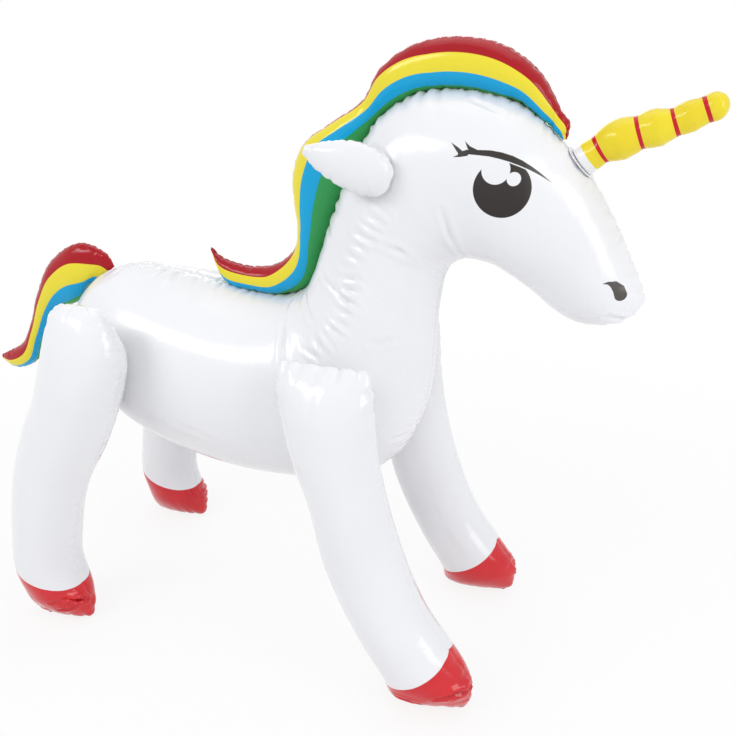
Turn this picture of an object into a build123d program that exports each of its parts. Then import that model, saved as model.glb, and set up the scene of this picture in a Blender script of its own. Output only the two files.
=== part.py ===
from build123d import *
import os
from math import cos, radians, sin

os.makedirs("parts", exist_ok=True)

# An inflatable unicorn that stands on its four hooves. Every air chamber is a pouch of two vinyl
# panels, welded to each other along the pouch's seam. Millimetres; +X is the way it faces, +Y its
# left side, +Z up, and the origin is on the ground under the middle of the figure.

# ---------------------------------------------------------------- driving dimensions
film = 0.3                  # vinyl sheet that every panel is cut from

barrel_height = 304         # the barrel's centre line above the ground
barrel_half_width = 100
neck_half_width = 60
head_half_width = 61
muzzle_half_width = 42

mane_half_width = 20
mane_seam_gap = 0.4         # between the mane's two films, along their seam
mane_lift = 1.6             # of the mane's foot over the body's outline, at a rib; less between ribs
tail_half_width = 17
tail_root_half_width = 0.8  # the two films pressed together, where the tail bends

horn_collar_radius = 18
horn_collar_thickness = 0.8

ear_half_width = 12
ear_stand = 7.4             # the ears' seam planes from the side of the head, at the weld ring
ear_lean = 10               # degrees that an ear's tip stands out from the head

leg_half_width = 39
fore_leg_stand = 15         # the fore legs' seam planes from the flank that they are welded to
hind_leg_stand = 40         # the hind legs' seam planes from the flank that they are welded to
sole_half_width = 1.5       # a leg ends in a flat seam, which it stands on

valve_x = -120
valve_dip = 50              # degrees below the horizontal, on the left flank
flange_radius = 16
flange_thickness = 0.8
stem_radius = 5.5
stem_bore_radius = 3.5
stem_lip_radius = 8
stem_lip_thickness = 1.2
stem_stop_radius = 7
stem_stop_thickness = 1.5
stem_travel = 10
slide_gap = 0.3             # between a valve piece and what it slides in or rests on
plug_length = 9
plug_cap_radius = 6.5
plug_cap_thickness = 1.6
tether_width = 3
tether_thickness = 1
flap_overlap = 1            # how far the flap reaches past the stem's bore
flap_thickness = 0.6

# ---------------------------------------------------------------- pouches and their ribs
# A rib of a pouch is two points of its outline, x and height in its seam plane, with how far the
# panels bulge out between them: first the panel on the plane's normal side, then the other one.

middle = Plane((0, 0, 0), x_dir=(1, 0, 0), z_dir=(0, -1, 0))


def both_sides(ribs, height=0):
    """Ribs whose two panels bulge alike, raised by a height."""
    return [((ax, az + height), (bx, bz + height), bulge, bulge) for (ax, az), (bx, bz), bulge in ribs]


def raised(ribs, height):
    """Ribs raised by a height."""
    return [((ax, az + height), (bx, bz + height), out, back) for (ax, az), (bx, bz), out, back in ribs]


def round_ribs(ribs):
    """Ribs of a round pouch, which bulges as far as its outline reaches."""
    radii = [(Vector(*first) - Vector(*last)).length / 2 for first, last in ribs]
    return [(first, last, radius, radius) for (first, last), radius in zip(ribs, radii)]


def rib_plane(seam, rib):
    """The plane of a rib, centred on it: x along the rib, y to the seam plane's normal side."""
    start = seam.from_local_coords(Vector(*rib[0]))
    end = seam.from_local_coords(Vector(*rib[1]))
    across = (start - end).normalized()
    return Plane((start + end) / 2, x_dir=across, z_dir=across.cross(seam.z_dir))


def bulged(reach, bulge):
    """A curve close to half an ellipse, from one end of a rib to the other."""
    pull = bulge / 0.75
    return Bezier((-reach, 0), (-reach, pull), (reach, pull), (reach, 0))


def panel(seam, ribs, side, ruled=False):
    """One film of a pouch, on the seam plane's normal side (1) or on the other side (-1).

    Where a pouch widens fast its film lies aslant to the ribs, so it is drawn thicker along them.
    """
    reaches = [(Vector(*rib[0]) - Vector(*rib[1])).length / 2 for rib in ribs]
    centres = [(Vector(*rib[0]) + Vector(*rib[1])) / 2 for rib in ribs]
    sections = []
    for index, rib in enumerate(ribs):
        before, after = max(index - 1, 0), min(index + 1, len(ribs) - 1)
        growth = (reaches[after] - reaches[before]) / (centres[after] - centres[before]).length
        bulge = rib[2] if side == 1 else rib[3]
        wall = min(film * (1 + growth ** 2) ** 0.5, bulge / 2)
        reach = reaches[index]
        with BuildSketch(rib_plane(seam, rib)) as section:
            with BuildLine():
                bulged(reach, side * bulge)
                Line((reach, 0), (reach - wall, 0))
                bulged(reach - wall, side * (bulge - wall))
                Line((wall - reach, 0), (-reach, 0))
            make_face()
        sections.append(section.sketch)
    with BuildPart() as sheet:
        loft(sections, ruled)
    return sheet.part


def finish(piece, name):
    """Label a piece and write it."""
    piece.label = name
    export_step(piece, f"parts/{name}.step")


# ---------------------------------------------------------------- body: barrel, neck and head
body_ribs = both_sides([
    ((-274, 41), (-275, 34), 3),
    ((-266, 74), (-268, 0), 0.36 * barrel_half_width),
    ((-243, 99), (-240, -36), 0.62 * barrel_half_width),
    ((-205, 114), (-205, -66), 0.84 * barrel_half_width),
    ((-150, 115), (-150, -92), 0.97 * barrel_half_width),
    ((-90, 108), (-90, -107), barrel_half_width),
    ((-36, 100), (-36, -113), barrel_half_width),
    ((2, 100), (16, -112), 0.99 * barrel_half_width),
    ((22, 106), (78, -106), 0.96 * barrel_half_width),
    ((36, 117), (134, -74), 0.89 * barrel_half_width),
    ((46, 137), (165, -14), 0.8 * barrel_half_width),
    ((54, 161), (174, 46), 1.15 * neck_half_width),
    ((64, 191), (177, 104), 1.03 * neck_half_width),
    ((78, 225), (187, 147), neck_half_width),
    ((93, 258), (207, 160), neck_half_width),
    ((114, 290), (219, 160), head_half_width),
    ((152, 314), (229, 158), head_half_width),
    ((202, 318), (240, 155), head_half_width),
    ((250, 307), (254, 147), 0.95 * head_half_width),
    ((290, 275), (276, 133), 1.2 * muzzle_half_width),
    ((321, 241), (297, 117), 1.08 * muzzle_half_width),
    ((345, 204), (315, 108), muzzle_half_width),
    ((364, 168), (333, 105), 0.8 * muzzle_half_width),
    ((376, 144), (349, 107), 0.52 * muzzle_half_width),
    ((379, 128), (372, 120), 3),
], barrel_height)

body_panels = {"right": panel(middle, body_ribs, 1), "left": panel(middle, body_ribs, -1)}

# The valve's seat on the left flank: local z points out of the body.
flank_direction = Vector(0, 1, 0).rotate(Axis.X, -valve_dip)
flank_line = Axis((valve_x, 0, barrel_height), flank_direction)
flank_hits = body_panels["left"].find_intersection_points(flank_line)
valve_point, valve_normal = max(flank_hits, key=lambda hit: hit[0].Y)   # the film's outer face
valve_seat = Plane(valve_point, z_dir=valve_normal)

with BuildPart() as body_film_left:
    add(body_panels["left"])
    with BuildSketch(valve_seat):
        Circle(stem_radius + slide_gap)
    extrude(amount=flange_radius, both=True, mode=Mode.SUBTRACT)
finish(body_film_left.part, "body_film_left")
finish(body_panels["right"], "body_film_right")

# ---------------------------------------------------------------- mane, from the withers to the forehead
# The mane stands on the body's upper outline, each of its ribs on the top of a rib of the body.
mane_tops = {
    6: ((-44, 127), 0.6),
    7: ((-8, 133), 0.8),
    9: ((17, 153), 0.95),
    11: ((22, 181), 1),
    12: ((18, 207), 1),
    13: ((18, 235), 1),
    14: ((34, 266), 1),
    15: ((97, 308), 0.8),
    16: ((133, 352), 1),
    17: ((198, 364), 1),
    18: ((262, 338), 0.9),
}


def above_crest(index):
    """A point the mane's lift above the top of a body rib."""
    top = Vector(*body_ribs[index][0])
    before, after = Vector(*body_ribs[index - 1][0]), Vector(*body_ribs[index + 1][0])
    along = (after - before).normalized()
    return top + Vector(-along.Y, along.X) * mane_lift


mane_ribs = both_sides([
    ((-91, 145), (-87, 139), 2),
    ((-80, 135), (-72, 108), 0.4 * mane_half_width),
], barrel_height)
for index, ((x, height), share) in mane_tops.items():
    foot = above_crest(index)
    bulge = share * mane_half_width
    mane_ribs.append(((x, height + barrel_height), (foot.X, foot.Y), bulge, bulge))
mane_ribs += both_sides([
    ((283, 311), (274, 293.2), 0.6 * mane_half_width),
    ((294, 288), (288, 280), 0.25 * mane_half_width),
], barrel_height)
for name, side in (("right", 1), ("left", -1)):
    mane_seam = middle.offset(side * mane_seam_gap / 2)
    finish(panel(mane_seam, mane_ribs, side), f"mane_film_{name}")

# ---------------------------------------------------------------- tail, which hangs from the rump
# Its root is a narrow line along the rump, where the two films are pressed together.
tail_ribs = both_sides([
    ((-227.3, 110), (-263.3, 86.4), tail_root_half_width),
    ((-232, 121), (-270, 83), 0.45 * tail_half_width),
    ((-248, 131), (-281, 66), 0.85 * tail_half_width),
    ((-280, 134), (-296, 57), tail_half_width),
    ((-318, 111), (-308, 52), tail_half_width),
    ((-345, 70), (-328, 38), 0.9 * tail_half_width),
    ((-364, 27), (-354, 2), 0.7 * tail_half_width),
    ((-385, -5), (-373, -31), 0.7 * tail_half_width),
    ((-407, -18), (-402, -42), 0.55 * tail_half_width),
    ((-428, -28), (-427, -34), 2),
], barrel_height)

for name, side in (("right", 1), ("left", -1)):
    finish(panel(middle, tail_ribs, side), f"tail_film_{name}")

# ---------------------------------------------------------------- horn on its welded collar
horn_ribs = raised(round_ribs([
    ((300.8, 266.6), (319.6, 245.4)),
    ((322, 287), (344, 259)),
    ((346, 297), (360, 267)),
    ((368, 303), (380, 275)),
    ((386, 307), (396, 284)),
    ((400, 314), (410, 290)),
    ((413, 318), (421, 297)),
    ((422, 317.5), (427, 302)),
    ((428, 312), (428.5, 309)),
]), barrel_height)

with BuildPart() as horn_collar:
    with BuildSketch(rib_plane(middle, horn_ribs[0])):
        Circle(horn_collar_radius)
    extrude(amount=-horn_collar_thickness)
finish(horn_collar.part, "horn_collar")
for name, side in (("right", 1), ("left", -1)):
    finish(panel(middle, horn_ribs, side, ruled=True), f"horn_film_{name}")

# ---------------------------------------------------------------- ears, welded to the head by a ring
# The right ear is made, and mirrored for the left one. Its outline runs from behind the weld ring
# to the tip: x along the ear, then across it.
ear_ribs = [
    ((-18, -5), (-18, 5), 2, 2),
    ((-12, -16), (-12, 16), 0.75 * ear_half_width, 0.75 * ear_half_width),
    ((2, -22), (2, 21), ear_half_width, ear_half_width),
    ((20, -23), (20, 22), ear_half_width, ear_half_width),
    ((40, -17), (40, 19), 0.85 * ear_half_width, 0.85 * ear_half_width),
    ((57, -8), (57, 13), 0.6 * ear_half_width, 0.6 * ear_half_width),
    ((69, 0), (69, 6), 2, 2),
]
ear_rise = 21               # degrees that the ear points up from straight back
ear_back = Vector(-1, 0, 0).rotate(Axis.Y, ear_rise)
ear_out = Vector(0, -1, 0)
ear_direction = ear_back * cos(radians(ear_lean)) + ear_out * sin(radians(ear_lean))
ear_normal = ear_out * cos(radians(ear_lean)) - ear_back * sin(radians(ear_lean))
ear_root = (131, -head_half_width - ear_stand, barrel_height + 245)
ear_seam = Plane(ear_root, x_dir=ear_direction, z_dir=ear_normal)

for name, side in (("outer", 1), ("inner", -1)):
    right_ear = panel(ear_seam, ear_ribs, side)
    finish(right_ear, f"ear_right_film_{name}")
    finish(mirror(right_ear, about=Plane.XZ), f"ear_left_film_{name}")

# ---------------------------------------------------------------- legs, welded to the flanks
# Thigh ribs move with the barrel, and the ribs below them stand on the ground. The inner panel
# is flatter where it lies against the flank.
fore_ribs = raised([
    ((142, 63), (50, 61), 1.5, 1.5),
    ((147, 46), (48, 44), 22, 13),
    ((149, 18), (53, 12), 36, 20.4),
    ((152, -20), (63, -30), 40, 23),
], barrel_height) + [
    ((158, 245), (79, 229), leg_half_width, 33),
    ((176, 178), (98, 150), leg_half_width, leg_half_width),
    ((211, 101), (141, 63), leg_half_width, leg_half_width),
    ((238, 66), (166, 24), leg_half_width, leg_half_width),
    ((257, 34), (168, 10), 32, 32),
    ((246, 0), (178, 0), sole_half_width, sole_half_width),
]
hind_ribs = raised([
    ((-168, 104), (-212, 104), 2, 2),
    ((-145, 82), (-234, 78), 24, 18),
    ((-133, 48), (-246, 40), 36, 33),
    ((-139, 12), (-252, -2), 41, 38.5),
], barrel_height) + [
    ((-166, 248), (-264, 270), 41, 40),
    ((-203, 186), (-285, 212), leg_half_width, leg_half_width),
    ((-226, 112), (-304, 128), leg_half_width, leg_half_width),
    ((-231, 68), (-310, 74), leg_half_width, leg_half_width),
    ((-216, 32), (-302, 28), 32, 32),
    ((-222, 0), (-292, 0), sole_half_width, sole_half_width),
]

fore_flank = 0.96 * barrel_half_width
hind_flank = 0.9 * barrel_half_width
for leg, seam_offset, ribs in (
    ("fore", fore_flank + fore_leg_stand, fore_ribs),
    ("hind", hind_flank + hind_leg_stand, hind_ribs),
):
    leg_seam = middle.offset(seam_offset)
    for name, side in (("outer", 1), ("inner", -1)):
        right_leg = panel(leg_seam, ribs, side)
        finish(right_leg, f"leg_{leg}_right_film_{name}")
        finish(mirror(right_leg, about=Plane.XZ), f"leg_{leg}_left_film_{name}")

# ---------------------------------------------------------------- valve, in the left flank
# Heights are along the valve's axis, from the body's outer face. It is drawn pushed in and shut.
with BuildPart() as valve_flange:
    with BuildSketch(valve_seat):
        Circle(flange_radius)
        Circle(stem_radius + slide_gap, mode=Mode.SUBTRACT)
    extrude(amount=flange_thickness)
finish(valve_flange.part, "valve_flange")

lip_bottom = flange_thickness + slide_gap
lip_top = lip_bottom + stem_lip_thickness
stop_top = -film - slide_gap - stem_travel
stem_end = stop_top - stem_stop_thickness
with BuildPart() as valve_stem:
    with BuildSketch(valve_seat.offset(lip_bottom)):
        Circle(stem_lip_radius)
    extrude(amount=stem_lip_thickness)
    with BuildSketch(valve_seat.offset(lip_bottom)):
        Circle(stem_radius)
    extrude(amount=stem_end - lip_bottom)
    with BuildSketch(valve_seat.offset(stem_end)):
        Circle(stem_stop_radius)
    extrude(amount=stem_stop_thickness)
    with BuildSketch(valve_seat.offset(lip_top)):
        Circle(stem_bore_radius)
    extrude(amount=stem_end - lip_top, mode=Mode.SUBTRACT)
finish(valve_stem.part, "valve_stem")

cap_bottom = lip_top + slide_gap
with BuildPart() as valve_plug:
    with BuildSketch(valve_seat.offset(cap_bottom)):
        Circle(plug_cap_radius)
    extrude(amount=plug_cap_thickness)
    with BuildSketch(valve_seat.offset(cap_bottom)):
        Circle(stem_bore_radius - slide_gap)
    extrude(amount=-plug_length)
finish(valve_plug.part, "valve_plug")

# The tether curls from the stem's lip, out and over, to just short of the plug's cap.
cap_middle = cap_bottom + plug_cap_thickness / 2
lip_middle = (lip_bottom + lip_top) / 2
tether_reach = stem_lip_radius + (cap_middle - lip_middle)
tether_normal = valve_seat.x_dir.cross(valve_seat.z_dir)
with BuildPart() as valve_plug_tether:
    with BuildSketch(Plane(valve_seat.origin, x_dir=valve_seat.x_dir, z_dir=tether_normal)):
        with BuildLine() as tether_line:
            lower = Line((stem_lip_radius, lip_middle), (tether_reach, lip_middle))
            upper = Line((tether_reach, cap_middle), (plug_cap_radius + slide_gap, cap_middle))
            ThreePointArc(
                (tether_reach, lip_middle),
                (tether_reach + (cap_middle - lip_middle) / 2, (cap_middle + lip_middle) / 2),
                (tether_reach, cap_middle),
            )
        trace(tether_line.line, tether_thickness)
    extrude(amount=tether_width / 2, both=True)
finish(valve_plug_tether.part, "valve_plug_tether")

with BuildPart() as valve_flap:
    with BuildSketch(valve_seat.offset(stem_end - slide_gap)):
        Circle(stem_bore_radius + flap_overlap)
    extrude(amount=-flap_thickness)
finish(valve_flap.part, "valve_flap")
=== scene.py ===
import bpy
import numpy as np
from math import cos, pi, radians, sin
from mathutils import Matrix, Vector


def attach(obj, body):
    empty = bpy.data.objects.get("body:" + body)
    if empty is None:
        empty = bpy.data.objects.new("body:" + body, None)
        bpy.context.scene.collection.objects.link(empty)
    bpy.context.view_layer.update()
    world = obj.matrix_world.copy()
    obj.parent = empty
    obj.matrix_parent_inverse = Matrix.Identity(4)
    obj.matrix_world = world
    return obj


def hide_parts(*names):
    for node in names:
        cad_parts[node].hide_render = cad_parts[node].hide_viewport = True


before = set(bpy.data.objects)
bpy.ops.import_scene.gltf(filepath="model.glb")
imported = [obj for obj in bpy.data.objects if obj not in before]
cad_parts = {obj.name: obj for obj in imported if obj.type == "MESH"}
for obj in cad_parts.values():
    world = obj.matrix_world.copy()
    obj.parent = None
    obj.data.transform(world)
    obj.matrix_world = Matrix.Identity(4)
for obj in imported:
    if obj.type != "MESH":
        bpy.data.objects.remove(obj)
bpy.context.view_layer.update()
MM = 0.001
rng = np.random.default_rng(7)

# ------------------------------------------------------------------ outlines
# The same pouches as the CAD model's, in millimetres. A rib is two points of a pouch's outline, in
# its seam plane, with how far its right or outer panel and its left or inner panel bulge there.
BARREL = 304  # the barrel's height, from which the middle pouches' ribs are measured


def both(ribs):
    """Ribs of a middle pouch in the row frame, with the same bulge on both sides."""
    return [((ax, az + BARREL), (bx, bz + BARREL), b, b) for (ax, az), (bx, bz), b in ribs]


BODY = both([
    ((-274, 41), (-275, 34), 3), ((-272, 60), (-273, 14), 21), ((-266, 74), (-268, 0), 36),
    ((-243, 99), (-240, -36), 62), ((-205, 114), (-205, -66), 84), ((-150, 115), (-150, -92), 97),
    ((-90, 108), (-90, -107), 100), ((-36, 100), (-36, -113), 100), ((2, 100), (16, -112), 99),
    ((22, 106), (78, -106), 96), ((36, 117), (134, -74), 89), ((46, 137), (165, -14), 80),
    ((54, 161), (174, 46), 69), ((64, 191), (177, 104), 62), ((78, 225), (187, 147), 60),
    ((93, 258), (207, 160), 60), ((114, 290), (219, 160), 61), ((152, 314), (229, 158), 61),
    ((202, 318), (240, 155), 61), ((250, 307), (254, 147), 58), ((290, 275), (276, 133), 50),
    ((321, 241), (297, 117), 45), ((345, 204), (315, 108), 42), ((364, 168), (333, 105), 34),
    ((376, 144), (349, 107), 22), ((379.5, 134), (361, 111), 12), ((379, 128), (372, 120), 3),
])
MANE = both([
    ((-91, 145), (-87, 139), 2), ((-80, 135), (-72, 108), 8), ((-44, 127), (-37, 100.5), 12),
    ((-8, 133), (2, 101), 16), ((17, 153), (36, 117), 19), ((22, 181), (54, 161), 20),
    ((18, 207), (64, 191), 20), ((18, 235), (78, 225), 20), ((34, 266), (93, 258), 20),
    ((64, 286), (104, 275), 19), ((97, 308), (114, 290), 15), ((112, 334), (131, 303), 18),
    ((135, 352), (152, 314), 20), ((198, 364), (202, 318), 20), ((240, 353), (234, 312), 20),
    ((264, 336), (250, 308.5), 18), ((281, 313), (271.5, 293.6), 12), ((289, 300), (281, 286.2), 6),
    ((297, 290), (287, 280.2), 6), ((295, 276), (291.5, 275.6), 1.5),
])
TAIL = both([
    ((-227.3, 110), (-263.3, 86.4), 0.8), ((-232, 119), (-270, 83), 4.5), ((-248, 130), (-281, 67), 11),
    ((-280, 134), (-296, 57), 17), ((-318, 111), (-308, 52), 17), ((-345, 70), (-328, 38), 15),
    ((-364, 27), (-354, 2), 12), ((-385, -5), (-373, -31), 12), ((-407, -18), (-402, -42), 9),
    ((-428, -28), (-427, -34), 2),
])
HORN_LINE = [  # the horn's centre line, and its radius there: narrow at each band, wide between
    (310.2, 256, 13.8), (318, 262.5, 13.6), (326.5, 268.8, 13.2), (334, 273.6, 16.4), (342, 277.5, 18),
    (350, 281, 17), (358.5, 284.2, 14.6), (366, 286.8, 15.8), (373, 289, 16.2), (380, 291.2, 14.2),
    (387, 293.8, 12), (393, 296.4, 12.8), (399, 299.2, 13.2), (405.5, 302.2, 12), (411.8, 305, 11.2),
    (417, 307.3, 11.8), (421.5, 309, 11), (425.5, 310.2, 7.6), (428.4, 310.8, 0.8),
]


def round_both(line):
    """Ribs of a round pouch, square to its centre line."""
    line = np.array(line, float)
    ahead = np.gradient(line[:, :2], axis=0)
    ahead /= np.linalg.norm(ahead, axis=1, keepdims=True)
    across = np.stack([-ahead[:, 1], ahead[:, 0]], -1) * line[:, 2:]
    middles = line[:, :2]
    return both([(a, b, w) for a, b, w in zip(middles + across, middles - across, line[:, 2])])


HORN = round_both(HORN_LINE)
EAR = [
    ((-18, -5), (-18, 5), 2, 2), ((-16, -11), (-16, 11), 5.5, 5.5), ((-12, -16), (-12, 16), 9, 9),
    ((2, -22), (2, 21), 12, 12), ((20, -23), (20, 22), 12, 12), ((40, -17), (40, 19), 10, 10),
    ((57, -8), (57, 13), 7, 7), ((69, 0), (69, 6), 2, 2),
]
FORE_LEG = [
    ((141, 371), (51, 370), 1.5, 1.5), ((145, 364), (48, 362), 12, 8), ((147, 352), (46, 350), 22, 13),
    ((149, 322), (51, 316), 36, 20.4), ((152, 284), (61, 274), 40, 23), ((158, 245), (78, 229), 39, 33),
    ((176, 178), (98, 150), 39, 39), ((211, 101), (141, 63), 39, 39), ((238, 66), (166, 24), 39, 39),
    ((255, 42), (168, 13), 34, 34), ((259, 22), (169, 5), 24, 24), ((256, 8), (173, 1.5), 13, 13),
    ((246, 0), (178, 0), 1.5, 1.5),
]
HIND_LEG = [
    ((-160, 407), (-197, 407), 2, 2), ((-149, 401), (-208, 400), 14, 11),
    ((-138, 386), (-216, 383), 24, 18), ((-128, 352), (-229, 342), 36, 33),
    ((-136, 316), (-242, 302), 41, 38), ((-166, 248), (-260, 270), 41, 40),
    ((-203, 186), (-285, 212), 39, 39), ((-226, 112), (-304, 128), 39, 39),
    ((-231, 68), (-310, 74), 39, 39), ((-219, 36), (-304, 36), 34, 34),
    ((-214, 16), (-302, 14), 23, 23), ((-216, 5), (-299, 4), 12, 12),
    ((-222, 0), (-292, 0), 1.5, 1.5),
]
# The left hind leg is filled less: its height above HIP shrinks to the share SLUMP.
HIP, SLUMP = 300, 0.78


def slumped(ribs):
    """Ribs with all that is above the hip's height sunk towards it."""
    def sink(point):
        return point[0], min(point[1], HIP + SLUMP * (point[1] - HIP))
    return [(sink(a), sink(b), outer, inner) for a, b, outer, inner in ribs]


class Seam:
    """A pouch's seam plane: turns a point in it, and a distance off it, into row-frame millimetres."""

    def __init__(self, origin, along, up, normal):
        vectors = (np.array(v, float) for v in (origin, along, up, normal))
        self.origin, self.along, self.up, self.normal = vectors

    def at(self, x, y, off):
        """Points of arrays x, y in the plane, off it by off towards its normal."""
        in_plane = self.origin + x[..., None] * self.along + y[..., None] * self.up
        return in_plane + off[..., None] * self.normal


def upright(offset):
    """A vertical seam plane that faces right, that far to the right of the middle plane."""
    return Seam((0, -offset, 0), (1, 0, 0), (0, 0, 1), (0, -1, 0))


MIDDLE = upright(0)
FORE_SEAM = upright(111)
HIND_SEAM = upright(130)
EAR_SEAT = (131, -68.4, BARREL + 245)
EAR_RISE, EAR_LEAN = radians(21), radians(10)
ear_back = np.array((-cos(EAR_RISE), 0, sin(EAR_RISE)))
ear_out = np.array((0, -1.0, 0))
ear_along = ear_back * cos(EAR_LEAN) + ear_out * sin(EAR_LEAN)
ear_normal = ear_out * cos(EAR_LEAN) - ear_back * sin(EAR_LEAN)
EAR_SEAM = Seam(EAR_SEAT, ear_along, np.cross(ear_normal, ear_along), ear_normal)


# ------------------------------------------------------------------ inflated film
BULGE_SHARE = 0.7  # how much of a bulge's growth counts as length along the film
END_BULGE = 0.15  # what is left of the bulge at a pouch's two end seams, in mm
HALF_ROUND = 1.55  # half the way round a section, over the sum of its two half axes
FEWEST_ROWS, FEWEST_COLUMNS = 8, 6

# The relaxation of the film: how far it is first shaken and then pushed out in a step, in mm, how
# strongly its links pull round it, past one row and aslant, and how strongly its first shape holds.
SHAKE, PUSH = 0.12, 0.02
ROUND_PULL, PAST_PULL, SLANT_PULL, HOLD = 0.8, 0.175, 0.25, 0.01
ROUND_STRETCH = 1.002  # how much longer the film is round the pouch than its first shape
PAST_SHARE, SLANT_SHARE = 0.55, 0.5  # how much of the slack the links past one row and aslant have


def hermite(knots, columns, tangent, at):
    """Cubic interpolation of the columns, with their tangents given at the knots."""
    i = np.clip(np.searchsorted(knots, at) - 1, 0, len(knots) - 2)
    h = (knots[i + 1] - knots[i])[:, None]
    u = ((at - knots[i]) / (knots[i + 1] - knots[i]))[:, None]
    return ((2 * u**3 - 3 * u**2 + 1) * columns[i] + (u**3 - 2 * u**2 + u) * h * tangent[i]
            + (3 * u**2 - 2 * u**3) * columns[i + 1] + (u**3 - u**2) * h * tangent[i + 1])


def smooth_columns(knots, columns, at):
    """Monotone cubic interpolation of each column of numbers through the knots."""
    width = np.diff(knots)[:, None]
    slope = np.diff(columns, axis=0) / width
    tangent = np.zeros_like(columns)
    same = slope[:-1] * slope[1:] > 0
    w1, w2 = 2 * width[1:] + width[:-1], width[1:] + 2 * width[:-1]
    with np.errstate(divide="ignore", invalid="ignore"):
        mean = (w1 + w2) / (w1 / slope[:-1] + w2 / slope[1:])
    tangent[1:-1] = np.where(same, mean, 0)
    tangent[0], tangent[-1] = slope[0], slope[-1]
    return hermite(knots, columns, tangent, at)


def catmull_columns(knots, columns, at):
    """Smooth interpolation of the columns, with each knot's slope taken over its neighbours."""
    return hermite(knots, columns, np.gradient(columns, knots, axis=0), at)


def step_lengths(line):
    """How far each point of a line is from the one before it."""
    return np.linalg.norm(np.diff(line, axis=0), axis=1)


def running_length(steps):
    """How far along its line each point is, from the steps between the points."""
    return np.concatenate([[0], np.cumsum(steps)])


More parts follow.
